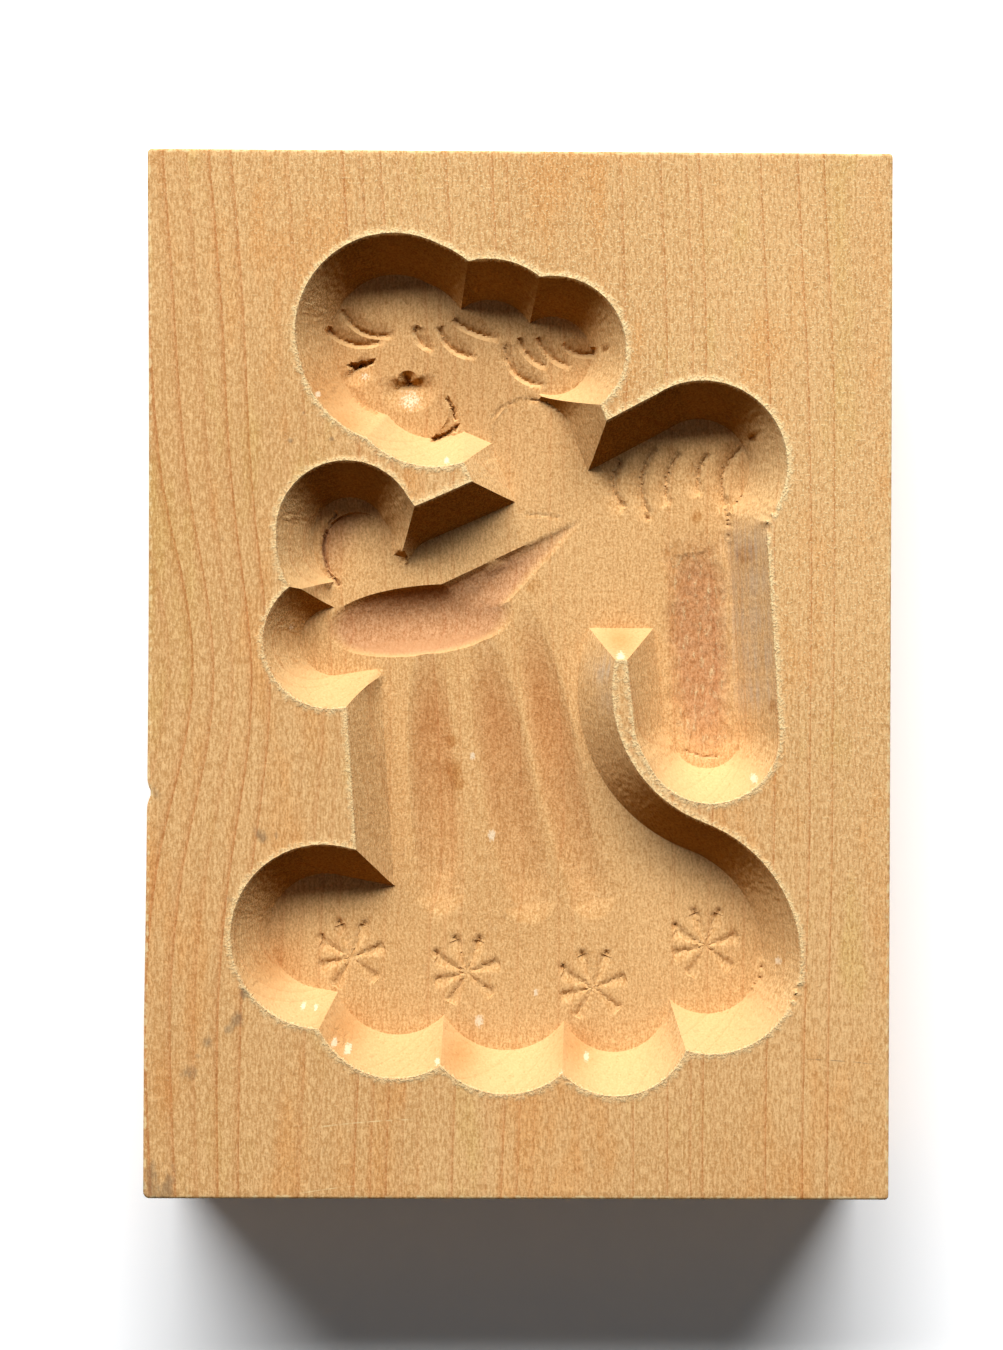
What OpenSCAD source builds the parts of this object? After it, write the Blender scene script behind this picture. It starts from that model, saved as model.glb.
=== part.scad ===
// Springerle mould: one block of close-grained hardwood with an angel cut into its face.
// The figure is a hollow, so that it stands up in relief on the dough that is pressed into it.
// Origin at the middle of the back, +X to the right, +Y to the top of the figure, +Z out of the
// carved face. Lengths are in millimetres and angles in degrees.

/* [Block] */
// Width of the block, across the grain
block_w = 71; // [62:0.5:100]
// Length of the block, along the grain
block_l = 100; // [90:0.5:140]
// Thickness of the board
block_t = 20; // [14:0.5:35]
// Width of the easing along the block's edges
edge_ease = 0.4; // [0.1:0.1:1.5]

/* [Figure] */
// Height of the figure, from the crown of the hair to the lowest scallop of the hem
figure_h = 82; // [62:0.5:86]
// Depth of the figure's floor below the face
carve_depth = 5; // [4.2:0.1:7]
// Slope of the cut walls, away from upright
wall_slope = 32.5; // [20:0.5:36]
// How much deeper the floor dips at the top of the neck and in the heart
floor_dip = 0.45; // [0.1:0.05:1]

/* [Sleeve and gown] */
// Depth of the sleeve's trough below the floor, at its widest
sleeve_depth = 1.7; // [0.8:0.1:2.5]
// Depth of the gown's folds below the floor, at their middle
fold_depth = 0.7; // [0.3:0.05:1.2]
// Depth of the wing's long trough below the floor
quill_depth = 0.5; // [0.2:0.05:1]

/* [Small cuts] */
// Radius of the gouge that cuts the curls, the feathers and the mouth
gouge_r = 0.6; // [0.4:0.05:0.9]
// Depth of the gouge's strokes below the floor, at their middle
stroke_depth = 0.45; // [0.2:0.05:0.6]
// Lean of the gouge, which lifts the ends of a stroke
stroke_lean = 30; // [10:1:45]
// Length of a flower's petal
petal_l = 3.3; // [2:0.1:4]
// Depth of a petal at its outer end
petal_depth = 0.55; // [0.3:0.05:1]
// Radius of the drilled eye at the floor
eye_r = 1.1; // [0.6:0.1:1.6]
// Depth of the drilled eye
eye_depth = 1.1; // [0.6:0.1:1.6]

/* [Hidden] */
$fn = 64;

// The figure is drawn 82 units tall, about the middle of the face
drawn_h = 82;
unit = figure_h / drawn_h;
floor_z = block_t - carve_depth;
// How far a wall leans in from the face to the floor
spread = carve_depth * tan(wall_slope);
// How far a cutting shape stands past the face, and how far a leaning one passes the floor
over = 1;
// How much less a straight pass cuts to each side than the plunges at its ends
pass_in = 0.04;
// How far a scoop's arc turns past the floor at each end
spare_turn = 1;

// Round plunges of the tapered cutter: place, and radius at the face
plunges = [
    [[-12.0, 32.7], 9.4],   // crown
    [[-11.2, 31.8], 9.9],   // cheek
    [[-8.1, 28.9], 9.1],    // chin
    [[-2.9, 32.0], 7.7],    // middle curl
    [[3.2, 31.1], 7.0],     // back curl
    [[-16.4, 13.7], 6.7],   // heart, top
    [[-16.0, 12.4], 7.1],   // heart
    [[18.5, -27.7], 8.4],   // right end of the hem
];

// Straight passes of the tapered cutter: start, end, and half width at the face
grooves = [
    [[-6.2, 27.2], [1.3, 24.0], 6.1],      // throat
    [[1.3, 22.9], [6.4, 10.9], 7.1],       // neck and chest
    [[-7.3, 9.9], [1.0, 13.6], 6.7],       // upper arm
    [[-17.8, 3.2], [-9.0, 4.6], 6.5],      // hand
    [[-16.3, 7.8], [-9.0, 8.0], 5.2],      // wrist
    [[-9.7, -2.4], [-8.5, -19.3], 6.7],    // left side of the gown
    [[-18.5, -25.0], [-10.0, -26.6], 8.8], // left end of the hem
    [[9.1, 15.6], [17.5, 20.1], 8.1],      // shoulder and top of the wing
    [[6.4, 8.4], [16.2, 8.4], 7.0],        // under the wing
    [[17.0, 15.0], [18.4, -5.6], 6.6],     // outer side of the wing
    [[16.2, 7.0], [17.5, -4.2], 6.5],      // inner side of the wing
];

// Scallops of the hem: place and radius at the face, and how far the cut leans back to the gown
scallops = [
    [[-11.5, -29.2], 8.2, 1.2],
    [[-1.0, -29.8], 8.75, 1.6],
    [[9.5, -31.8], 7.35, 1.2],
];

// The gown's right side swings in round a tongue of uncut wood, then out along the train
tongue_at = [22.4, -1.4];
tongue_r = 13.4;
train_at = [12.75, -27.4];
train_r = norm(tongue_at - train_at) - tongue_r;
// Corners of the stretch that is cut along the train, from its middle
train_reach = [[-10, -2], [30, -2], [30, 30], [-10, 30]];

// Floor that is cleared between the cuts
gown_floor = [
    [6.4, 8.4], [1.0, 13.6], [-7.3, 9.9], [-9.0, 4.6], [-10.6, 1.4], [-9.7, -2.4], [-8.5, -19.3],
    [-12.0, -25.0], [-11.5, -28.2], [-1.0, -28.4], [9.5, -30.6], [18.5, -27.7], train_at, tongue_at,
];
head_floor = [[-12.0, 32.7], [-8.1, 28.9], [-6.2, 27.2], [1.3, 24.0], [3.2, 31.1], [-2.9, 32.0]];
wing_floor = [[6.4, 10.9], [5.0, 17.2], [14.0, 20.7], [17.4, 20.1], [17.1, 16.6], [16.2, 8.4]];

// Long scoops below the floor, which rise out of it at both ends: the ends, and half width
forearm = [[-18.6, 4.2], [-0.5, 6.3], 3.4];
folds = [
    [[-8.9, 3.5], [-7.4, -24.0], 2.4],
    [[-3.5, 4.2], [1.5, -24.4], 2.6],
    [[0.6, 6.9], [7.2, -24.0], 2.3],
];
quill = [[17.0, 15.0], [18.3, -8.2], 3.2];

// The sleeve widens and deepens from a point at the shoulder to the elbow: the ends, and half width there
upper_arm = [[6.4, 15.3], [-6.0, 6.1], 3.3];
// Share of the forearm's depth that the upper arm has at the elbow, and radius of its point
elbow_share = 0.82;
shoulder_r = 0.3;

// Dished ends, which dip one way: place, radius and heading of the dip
neck_dish = [[1.3, 23.0], 3.8, 112];
heart_dish = [[-15.5, 12.2], 3.5, 150];

// Gouge strokes, each an arc through three points on the floor
curls = [
    [[-17.2, 35.5], [-15.5, 33.5], [-12.1, 33.2]],
    [[-18.7, 33.7], [-16.2, 32.2], [-13.1, 32.6]],
    [[-10.1, 33.9], [-9.6, 32.4], [-8.3, 31.7]],
    [[-7.8, 33.9], [-6.5, 31.8], [-4.2, 31.0]],
    [[-6.4, 34.6], [-4.3, 33.4], [-1.9, 32.8]],
    [[-1.3, 32.2], [-0.4, 29.5], [2.5, 28.3]],
    [[0.0, 32.8], [1.1, 31.0], [2.8, 30.0]],
    [[1.8, 32.8], [3.2, 31.0], [5.1, 30.1]],
    [[4.3, 32.2], [6.3, 31.3], [8.0, 31.6]],
];
feathers = [
    [[10.1, 20.9], [9.3, 18.5], [10.4, 16.3]],
    [[13.4, 22.2], [12.0, 19.0], [12.8, 15.7]],
    [[15.8, 21.7], [14.5, 19.3], [14.6, 16.6]],
    [[18.5, 21.6], [17.6, 19.9], [17.7, 17.6]],
    [[22.0, 22.4], [20.0, 19.8], [20.4, 16.2]],
];
mouth = [[-6.4, 26.6], [-6.4, 24.4], [-8.4, 22.9]];
cheek_line = [[-16.2, 28.7], [-15.6, 26.7], [-13.6, 25.5]];
eye_at = [-10.8, 28.5];

// Flowers along the hem, and the headings of their petals
flowers = [[-16.0, -27.5], [-4.8, -29.0], [7.5, -30.4], [18.4, -26.3]];
petal_turns = [16, 68, 111, 156, 198, 243, 317];
// Knife nicks in the face and the fringe: place of the shallow end, heading, and share of a petal
nicks = [[[-16.7, 29.2], 25, 0.8], [[-13.9, 37.3], 305, 0.5], [[-12.0, 37.1], 315, 0.5]];

function heading(v) = atan2(v.y, v.x);

// Distance of a point from the line through two others
function off_line(p, a, b) = abs((b.x - a.x) * (p.y - a.y) - (b.y - a.y) * (p.x - a.x)) / norm(b - a);

// A board with its edges eased
module eased_block() {
    intersection() {
        translate([0, 0, block_t / 2]) rotate([90, 0, 0])
            linear_extrude(block_l, center = true) eased_section(block_w, block_t);
        translate([0, 0, block_t / 2]) rotate([90, 0, 90])
            linear_extrude(block_w, center = true) eased_section(block_l, block_t);
        linear_extrude(block_t) eased_section(block_w, block_l);
    }
}

module eased_section(w, h) {
    x = w / 2;
    y = h / 2;
    e = edge_ease;
    polygon([
        [x - e, -y], [x, e - y], [x, y - e], [x - e, y],
        [e - x, y], [-x, y - e], [-x, e - y], [e - x, -y],
    ]);
}

// One round plunge, upright
module plunge(at, r) {
    translate([at.x * unit, at.y * unit, floor_z])
        cylinder(h = carve_depth + over, r1 = r * unit - spread, r2 = r * unit + over * tan(wall_slope));
}

// One straight pass, with its round ends
module groove(a, b, r) {
    half = r * unit - pass_in;
    plunge(a, r);
    plunge(b, r);
    translate([a.x * unit, a.y * unit, floor_z]) rotate([0, 0, heading(b - a)]) rotate([90, 0, 90])
        linear_extrude(norm(b - a) * unit) polygon([
            [spread - half, 0],
            [half - spread, 0],
            [half + over * tan(wall_slope), carve_depth + over],
            [-half - over * tan(wall_slope), carve_depth + over],
        ]);
}

// One scallop of the hem, whose floor lies further in than its rim
module scallop(at, r, lean) {
    tilt = atan(lean * unit / carve_depth);
    along = carve_depth / cos(tilt);
    flare = (spread - lean * unit) / along;
    floor_r = r * unit - spread + lean * unit;
    past = over + r * unit * tan(tilt);
    translate([at.x * unit, (at.y + lean) * unit, floor_z]) rotate([tilt, 0, 0]) translate([0, 0, -past])
        cylinder(h = along + 2 * past, r1 = floor_r - past * flare, r2 = floor_r + (along + past) * flare);
}

module cleared(points) {
    translate([0, 0, floor_z]) linear_extrude(carve_depth + over) polygon(points * unit);
}

// The tongue of uncut wood, which swells towards the floor
module tongue() {
    top_r = tongue_r * unit - over * tan(wall_slope);
    translate([tongue_at.x * unit, tongue_at.y * unit, floor_z])
        cylinder(h = carve_depth + over, r1 = tongue_r * unit + spread, r2 = top_r);
}

// The hollow down to its flat floor
module hollow() {
    for (p = plunges) plunge(p[0], p[1]);
    for (g = grooves) groove(g[0], g[1], g[2]);
    cleared(head_floor);
    cleared(wing_floor);
    difference() {
        cleared(gown_floor);
        tongue();
    }
    intersection() {
        plunge(train_at, train_r);
        cleared([for (c = train_reach) train_at + c]);
    }
    intersection() {
        union() for (s = scallops) scallop(s[0], s[1], s[2]);
        translate([-block_w, -block_l, floor_z]) cube([2 * block_w, 2 * block_l, carve_depth + over]);
    }
}

module below_floor() {
    translate([-block_w, -block_l, 0]) cube([2 * block_w, 2 * block_l, floor_z]);
}

// One long scoop that rises out of the floor at both ends
module scoop(a, b, half_w, depth) {
    length = norm(b - a) * unit;
    along_r = length * length / (8 * depth) + depth / 2;
    across_r = pow(half_w * unit, 2) / (2 * depth) + depth / 2;
    half_turn = asin(length / (2 * along_r)) + spare_turn;
    middle = (a + b) / 2 * unit;
    intersection() {
        translate([middle.x, middle.y, floor_z - depth + along_r]) rotate([90, 0, heading(b - a)])
            rotate([0, 0, -90 - half_turn]) rotate_extrude(angle = 2 * half_turn)
            translate([along_r - across_r, 0]) circle(across_r);
        below_floor();
    }
}

// One round-bottomed trough that widens from a point on the floor
module taper(a, b, half_w, depth) {
    end_r = pow(half_w * unit, 2) / (2 * depth) + depth / 2;
    run = norm(b - a) * unit;
    rise = end_r - depth - shoulder_r;
    intersection() {
        translate([a.x * unit, a.y * unit, floor_z + shoulder_r])
            rotate([0, atan2(run, rise), heading(b - a)])
            cylinder(h = norm([run, rise]), r1 = shoulder_r, r2 = end_r);
        below_floor();
    }
}

// One plunge whose flat end dips one way, and leaves the floor on the other side alone
module dish(d) {
    r = d[1] * unit;
    translate([d[0].x * unit, d[0].y * unit, floor_z]) rotate([0, asin(floor_dip / r), d[2]])
        cylinder(h = carve_depth, r1 = r, r2 = r + spread / 2);
}

// One stroke of the gouge: an arc through three points, deepest at its middle
module stroke(points, depth = stroke_depth) {
    p = points * unit;
    chord = norm(p[2] - p[0]);
    bow = off_line(p[1], p[0], p[2]);
    r = bow / 2 + chord * chord / (8 * bow);
    half_turn = asin(chord / (2 * r));
    side = cross(p[2] - p[0], p[1] - p[0]) > 0 ? 0 : 180;
    translate([(p[0].x + p[2].x) / 2, (p[0].y + p[2].y) / 2, floor_z + gouge_r - depth])
        rotate([0, 0, heading(p[2] - p[0]) + side]) translate([0, 0, bow * sin(stroke_lean)])
        rotate([-stroke_lean, 0, 0]) translate([0, bow - r, 0]) rotate([0, 0, 90 - half_turn])
        rotate_extrude(angle = 2 * half_turn) translate([r, 0]) circle(gouge_r);
}

// One knife cut, rising to nothing at its start
module knife_cut(at, turn, share = 1) {
    dip = asin(petal_depth / petal_l);
    translate([at.x * unit, at.y * unit, floor_z]) rotate([0, dip, turn]) rotate([45, 0, 0])
        cube([share * petal_l, 2 * petal_depth, 2 * petal_depth]);
}

module drilled_eye() {
    tip_r = eye_r / 3;
    translate([eye_at.x * unit, eye_at.y * unit, floor_z - eye_depth])
        cylinder(h = eye_depth + over, r1 = tip_r, r2 = eye_r + over * (eye_r - tip_r) / eye_depth);
}

module mould_block() {
    color("burlywood") difference() {
        eased_block();
        hollow();
        dish(neck_dish);
        dish(heart_dish);
        taper(upper_arm[0], upper_arm[1], upper_arm[2], elbow_share * sleeve_depth);
        scoop(forearm[0], forearm[1], forearm[2], sleeve_depth);
        for (f = folds) scoop(f[0], f[1], f[2], fold_depth);
        scoop(quill[0], quill[1], quill[2], quill_depth);
        for (c = curls) stroke(c);
        for (f = feathers) stroke(f);
        stroke(mouth);
        stroke(cheek_line, stroke_depth / 2);
        drilled_eye();
        for (f = flowers, t = petal_turns) knife_cut(f, t);
        for (n = nicks) knife_cut(n[0], n[1], n[2]);
    }
}

mould_block();
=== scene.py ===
"""Dresses a carved wooden biscuit mould and sets it on a white floor under a window light.

The block is meshed over its own solid: fine where the figure is cut, coarse on the flat land. Marks
that years of use have left, and patches of painted shade and highlight, are placed in millimetres from
the middle of the face, +X to the right and +Y to the top of the figure.
"""

import math
from types import SimpleNamespace

import bmesh
import bpy
import numpy as np
from bpy.props import FloatProperty, FloatVectorProperty, IntProperty, PointerProperty
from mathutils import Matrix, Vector, bvhtree, geometry, kdtree


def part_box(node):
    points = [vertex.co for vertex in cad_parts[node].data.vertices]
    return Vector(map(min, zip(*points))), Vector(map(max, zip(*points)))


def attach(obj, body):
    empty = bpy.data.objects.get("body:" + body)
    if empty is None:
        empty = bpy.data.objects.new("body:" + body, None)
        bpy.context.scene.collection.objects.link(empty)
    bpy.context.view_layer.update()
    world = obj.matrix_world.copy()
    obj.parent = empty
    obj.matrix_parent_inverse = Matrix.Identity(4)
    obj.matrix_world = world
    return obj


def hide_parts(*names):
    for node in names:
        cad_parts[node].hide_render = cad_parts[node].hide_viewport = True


bl_info = {
    "name": "Springerle mould",
    "version": (1, 0, 0),
    "blender": (4, 5, 0),
    "location": "3D View > Sidebar > Mould",
    "description": "Dresses a carved wooden biscuit mould and sets it on a white floor",
    "category": "Object",
}

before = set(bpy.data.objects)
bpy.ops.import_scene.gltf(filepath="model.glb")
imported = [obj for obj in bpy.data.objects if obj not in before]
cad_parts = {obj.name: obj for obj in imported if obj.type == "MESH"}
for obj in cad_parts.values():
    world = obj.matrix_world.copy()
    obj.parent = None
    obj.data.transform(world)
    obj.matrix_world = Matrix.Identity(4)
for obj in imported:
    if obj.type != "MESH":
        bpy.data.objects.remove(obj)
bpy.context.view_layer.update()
BLOCK = "mould_block"
BACK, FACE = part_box(BLOCK)
MM = 0.001

# Flour that has stayed in the cuts: place and radius
FLOUR = (
    (-4.35, -7.9, 0.32), (-2.45, -15.6, 0.45), (9.8, 1.7, 0.5), (-16.1, -35.9, 0.45), (-17.4, -35.2, 0.35),
    (-20.5, -31.9, 0.3), (-19.3, -32.1, 0.25), (-7.5, -37.0, 0.35), (4.3, -38.2, 0.35), (6.8, -36.9, 0.35),
    (25.2, -27.5, 0.35), (22.6, -9.8, 0.4), (-6.9, 20.5, 0.35), (-19.2, 26.7, 0.3), (-21.9, 4.5, 0.25),
    (-3.6, -33.7, 0.5), (1.9, -30.9, 0.3),
)
# Grey stains on the land: place and radius
STAINS = (
    (-25.9, -30.4, 0.5), (-26.7, -32.9, 1.0), (-27.6, -33.7, 0.6), (-29.5, -35.1, 0.6), (-30.4, -36.4, 0.4),
    (-31.2, -37.9, 0.8), (-24.3, -15.5, 0.8), (-22.9, -15.3, 0.6), (-27.3, -21.6, 0.5), (-35.0, -11.3, 0.8),
    (-34.4, -49.0, 2.4), (-17.0, -34.9, 0.4), (-21.7, 22.2, 0.3), (-17.8, 22.4, 0.25), (-20.5, 24.9, 0.2),
)
# Brown stains in the gown and the wing: place and radius
BROWN = (
    (-6.3, -9.4, 1.1), (-5.6, -10.6, 0.8), (-6.6, -6.5, 0.9), (1.7, 8.6, 1.2), (17.2, 15.4, 0.8),
    (22.0, 11.9, 1.3), (24.3, -2.8, 0.6),
)
# Walls that the cutter has left rosy: place and radius
ROSY = (
    (-19.2, 26.9, 3.5), (-16.9, 23.8, 2.2), (-23.6, -28.0, 2.5), (-16.6, -34.2, 2.0), (-5.6, -36.6, 2.0),
    (5.9, -36.0, 2.0), (9.8, 3.4, 1.5),
)
# Grey bloom on walls that hands have rubbed: place and radius
BLOOM = (
    (22.2, 12.5, 2.0), (22.4, 9.0, 2.0), (22.6, 5.5, 2.0), (22.9, 2.0, 2.0), (23.0, -1.5, 1.8),
    (8.4, 0.4, 1.3), (9.3, -2.2, 1.2),
)
# Chips torn out of the cuts, which also get painted shade: place and radius
CHIPS = ((8.3, 31.6, 0.35), (22.6, 23.0, 0.35), (12.6, 15.5, 0.3), (-10.9, 28.8, 0.45))
# Ragged lines of the nose, the mouth, the wing's lower end, the neck, the shoulder and the heart, darkened
# with
# painted shade: half width, depth and places passed
KNIFE_LINES = (
    (0.32, 0.55, ((-16.3, 30.0), (-15.3, 30.1), (-14.3, 30.4))),
    (0.24, 0.5, ((-6.9, 26.8), (-6.4, 25.9), (-6.2, 25.0))),
    (0.28, 0.55, ((-6.0, 24.2), (-6.8, 23.5), (-8.4, 22.8))),
    (0.2, 0.2, ((16.4, -7.3), (18.0, -7.9), (19.8, -7.8))),
    (0.2, 0.15, ((-2.5, 25.0), (-1.7, 26.0), (0.3, 26.9), (2.5, 26.7), (3.9, 25.6))),
    (0.18, 0.1, ((0.7, 15.6), (2.4, 15.6), (4.0, 15.3))),
    (0.26, 0.32, ((-17.6, 15.6), (-18.7, 14.2), (-19.0, 12.3), (-18.6, 10.2), (-17.4, 8.7))),
)
# Lower ends of the gown's folds, scooped deeper: tip, heading up the fold and half width
FOLD_ENDS = ((-7.3, -23.4, 93, 2.5), (1.7, -24.2, 100, 2.7), (7.9, -23.8, 102, 2.4))
# Flowers along the hem: their middles, and the radius that each takes up
FLOWERS = ((-16.0, -27.5), (-4.8, -29.0), (7.5, -30.4), (18.4, -26.3))
FLOWER_RADIUS = 3.7
# Headings of a flower's petals, and how far up a petal's deepest line lies, as a share of its half width
PETAL_TURNS = (16, 68, 111, 156, 198, 243, 317)
PETAL_LEAN = 0.25
# Chips beyond the outer ends of a flower's upper petals: headings, distance from the middle and radius
CHIPPED = (69, 109, 147)
CHIP_REACH = 3.5
PETAL_CHIP = 0.3
# Cuts that are worn shallow: middle, radius and the share of their depth that is left
WORN = tuple((x, y, FLOWER_RADIUS, 0.35) for x, y in FLOWERS) + (
    (1.3, 23.0, 4.0, 0.35), (-5.5, 33.0, 14.5, 0.5), (15.5, 19.2, 7.5, 0.5),
)
# Gouge strokes with one side cut at a slant, each an arc through three places
CURLS = (
    ((-17.2, 35.5), (-15.5, 33.5), (-12.1, 33.2)),
    ((-18.7, 33.7), (-16.2, 32.2), (-13.1, 32.6)),
    ((-10.1, 33.9), (-9.6, 32.4), (-8.3, 31.7)),
    ((-7.8, 33.9), (-6.5, 31.8), (-4.2, 31.0)),
    ((-6.4, 34.6), (-4.3, 33.4), (-1.9, 32.8)),
    ((-1.3, 32.2), (-0.4, 29.5), (2.5, 28.3)),
    ((0.0, 32.8), (1.1, 31.0), (2.8, 30.0)),
    ((1.8, 32.8), (3.2, 31.0), (5.1, 30.1)),
    ((4.3, 32.2), (6.3, 31.3), (8.0, 31.6)),
)
FEATHERS = (
    ((10.1, 20.9), (9.3, 18.5), (10.4, 16.3)),
    ((13.4, 22.2), (12.0, 19.0), (12.8, 15.7)),
    ((15.8, 21.7), (14.5, 19.3), (14.6, 16.6)),
    ((18.5, 21.6), (17.6, 19.9), (17.7, 17.6)),
    ((22.0, 22.4), (20.0, 19.8), (20.4, 16.2)),
)
# Half dishes below the drilled eye and beside the nose: place, radius, depth and heading
HALF_DISHES = ((-10.7, 28.6, 3.1, 1.35, -85), (-16.0, 29.9, 2.0, 0.8, -45))
# Painted highlight, in the colour of flour, on the lit lower side of each half dish: place and radius
DISH_HIGHLIGHT = ((-10.6, 26.7, 1.5), (-15.0, 29.0, 0.6))
# How dark the painted shade at the petals' chips and in the creases of the gouge strokes is, beside that at
# the other chips
PETAL_CHIP_DARK = 0.7
CREASE_DARK = 0.34
# Depth below the floor at which the painted shade in a cut is at its darkest
DEEP = 0.5
# Heights up the figure between which the painted shade in the folds grows dark, and above which cuts get no
# depth shade
FOLD_LOW = -20.0
FOLD_DARK = -5.0
HEAD_LOW = 15.5
# Place across the figure that parts the gown from the wing
WING_LEFT = 12.0
# The sleeve's lower edge, from left to right, and the height over which the folds' painted shade fades there
SLEEVE_EDGE = ((-9.0, 0.5), (-1.0, 2.0), (1.5, 7.0))
SLEEVE_FADE = 1.5
# Painted shade over the floor in the head: place and radius
HEAD_SHADE = ((-5.0, 30.0, 11.0),)
# Stretches of wall where two passes of the cutter run into each other without an edge: place and radius
BLENDED = ((25.2, -29.4, 3.0), (22.0, 15.3, 3.0))
# A sliver that is broken off beside the heart: places and radii
CLEARED = ((-11.75, 10.3, 1.3), (-11.65, 11.1, 1.0), (-12.4, 10.0, 1.0))
# The ridge between the hand and the gown runs out early: where it is cut down, across and up the figure
RUN_OUT_ACROSS = (-14.4, -13.0, -9.5, -9.0)
RUN_OUT_UP = (-7.0, -2.0, 2.0, 2.5)
# The torn trough of the wing: middle, lean, half width and half length
WING_TROUGH = (17.6, 3.0, 0.06, 3.1, 11.3)
# Depth of the figure's floor
CARVE_DEPTH = 5.0
FLOOR = FACE.z - CARVE_DEPTH * MM
# Pale scratches and one dark shake in the land: middle, length, heading and width
SCRATCHES = ((-14.4, -42.6, 13.0, 5.0, 0.09), (-18.0, -49.0, 6.0, 8.0, 0.07), (26.5, 41.0, 4.0, -38.0, 0.12))
SHAKES = ((31.0, -36.6, 8.0, -4.0, 0.08),)
# Where the left side is planed hollow: middle and half length up the block, and how far across it starts
HOLLOW = (7.0, 40.0, 26.0)
# The nick in the left edge: place up the block, half height, and reach across the face and down the side
NICK = (-11.4, 0.7, 1.2, 3.0)
# Growth lines swerve round a knot beyond the left side: how far, and over what reach
SWERVE = 4.5
SWERVE_REACH = 13.0
# How far the growth lines sway to each side, and how much they lean
SWAY = 7.0
GRAIN_LEAN = 0.012
# The way that a wall faces which the cutter has left felted
FELTED_SIDE = (0.6, -0.6, 0.537)
# Height of the grain's relief
GRAIN_HEIGHT = 0.05
# Times that heights are drawn together all over the figure, and where two passes of the cutter meet
EASINGS = 20
BLEND_EASINGS = 150
# How near two heights lie that count as one, and how far cut surfaces stray from the floor
SAME_HEIGHT = 0.01
FLOOR_SLACK = 0.05


def linear(red, green, blue):
    """A colour on the 0 to 255 scale, as linear light."""
    return tuple(((c / 255 + 0.055) / 1.055) ** 2.4 for c in (red, green, blue))


def length_property(name, description, millimetres):
    return FloatProperty(
        name=name, description=description, default=millimetres * MM, unit="LENGTH", precision=5
    )


def colour_property(name, description, *rgb):
    return FloatVectorProperty(
        name=name, description=description, default=linear(*rgb), subtype="COLOR", size=3, min=0.0, max=1.0
    )


class CarvingSettings(bpy.types.PropertyGroup):
    """Sizes of the block's mesh and of the marks that the tools left."""

    cut_step: length_property("Cut step", "Spacing of the mesh in the cut figure", 0.22)
    land_step: length_property("Land step", "Spacing of the mesh on the flat land", 2.5)
    edge_step: length_property("Edge step", "Spacing of the mesh along the outer edges", 0.45)
    rim_band: length_property("Rim band", "Width of the finely meshed land along the rim", 1.0)
    slant: length_property("Slant", "Width of the slanting side of a gouge stroke", 1.6)
    bevel: length_property("Bevel", "Width of the steep side of a gouge stroke", 0.42)
    stroke_depth: length_property("Stroke depth", "Depth of a gouge stroke between its sides", 0.58)
    crease: length_property("Crease", "Half width of the crease between the sides of a gouge stroke", 0.28)
    crease_depth: length_property("Crease depth", "Depth of that crease", 0.12)
    fold_end_length: length_property("Fold end length", "Length of the scooped end of a fold", 15.0)
    fold_end_depth: length_property("Fold end depth", "Depth of the scooped end of a fold", 0.42)
    petal_length: length_property("Petal length", "Length of a flower's petal", 3.3)
    petal_width: length_property("Petal width", "Half width of a petal at its outer end", 0.85)
    petal_depth: length_property("Petal depth", "Depth of a petal at its outer end", 0.33)
    ragged: length_property("Ragged", "How far the edges of small cuts stray", 0.035)
    chip_depth: length_property("Chip depth", "Depth of the chips torn out of the cuts", 0.35)
    lip: length_property("Lip", "Depth of the torn trough's lip", 0.18)
    edge_round: length_property("Edge round", "Radius of the worn outer edges", 0.3)
    fray_band: length_property("Fray band", "Width of the frayed land along the outer edges", 0.6)
    corner_round: length_property("Corner round", "Radius of the face's corners, within the worn edge", 0.1)
    worn_corner: length_property("Worn corner", "Radius of the corner that is worn most", 0.3)
    side_hollow: length_property("Side hollow", "How far the left side is planed hollow", 0.28)
    end_skew: length_property("End skew", "How much shorter the right side is sawn", 0.35)
    nick: length_property("Nick", "Depth of the nick in the left edge", 0.4)
    ripple: length_property("Ripple", "Height of the cutter's ripple on the cut surfaces", 0.03)
    torn: length_property("Torn", "Height of the torn grain in the wing", 0.2)
    burr: length_property("Burr", "Height of the fibres that stand up along the rim", 0.08)
    wander: length_property("Wander", "How far the rim strays to each side", 0.045)
    seed: IntProperty(name="Seed", description="Draw of the ripple, the torn grain and the burr", default=3)


class WoodSettings(bpy.types.PropertyGroup):
    """Colours of the bare wood, and the run of its growth rings."""

    early: colour_property("Early wood", "Pale wood between the growth lines", 226, 183, 126)
    late: colour_property("Late wood", "Darker wood of the growth lines", 200, 136, 80)
    land_tint: colour_property("Land tint", "What handling has left of the land's colour", 247, 240, 235)
    floor_tint: colour_property("Floor tint", "What the cutter has left of the floor's colour", 252, 245, 239)
    # Painted shade: the end tint darkens the walls that face away from the window light
    shaded_wall_tint: colour_property("End tint", "What is left where the cut ran against the grain", 184, 155, 104)
    fibre: colour_property("Fibre", "Raised and torn fibres", 250, 225, 170)
    # Flour in the cuts; the same colour paints the highlight in the half dishes
    flour_and_highlight: colour_property("Flour", "Flour in the cuts", 250, 230, 196)
    stain: colour_property("Stain", "Grey stains", 112, 96, 78)
    bloom: colour_property("Bloom", "Grey bloom on rubbed walls", 205, 190, 168)
    ring_step: length_property("Ring step", "Width of a growth ring", 0.95)
    pith_x: length_property("Pith across", "Place of the pith across the block", -62.0)
    pith_z: length_property("Pith depth", "Place of the pith, from the back", -46.0)


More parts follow.
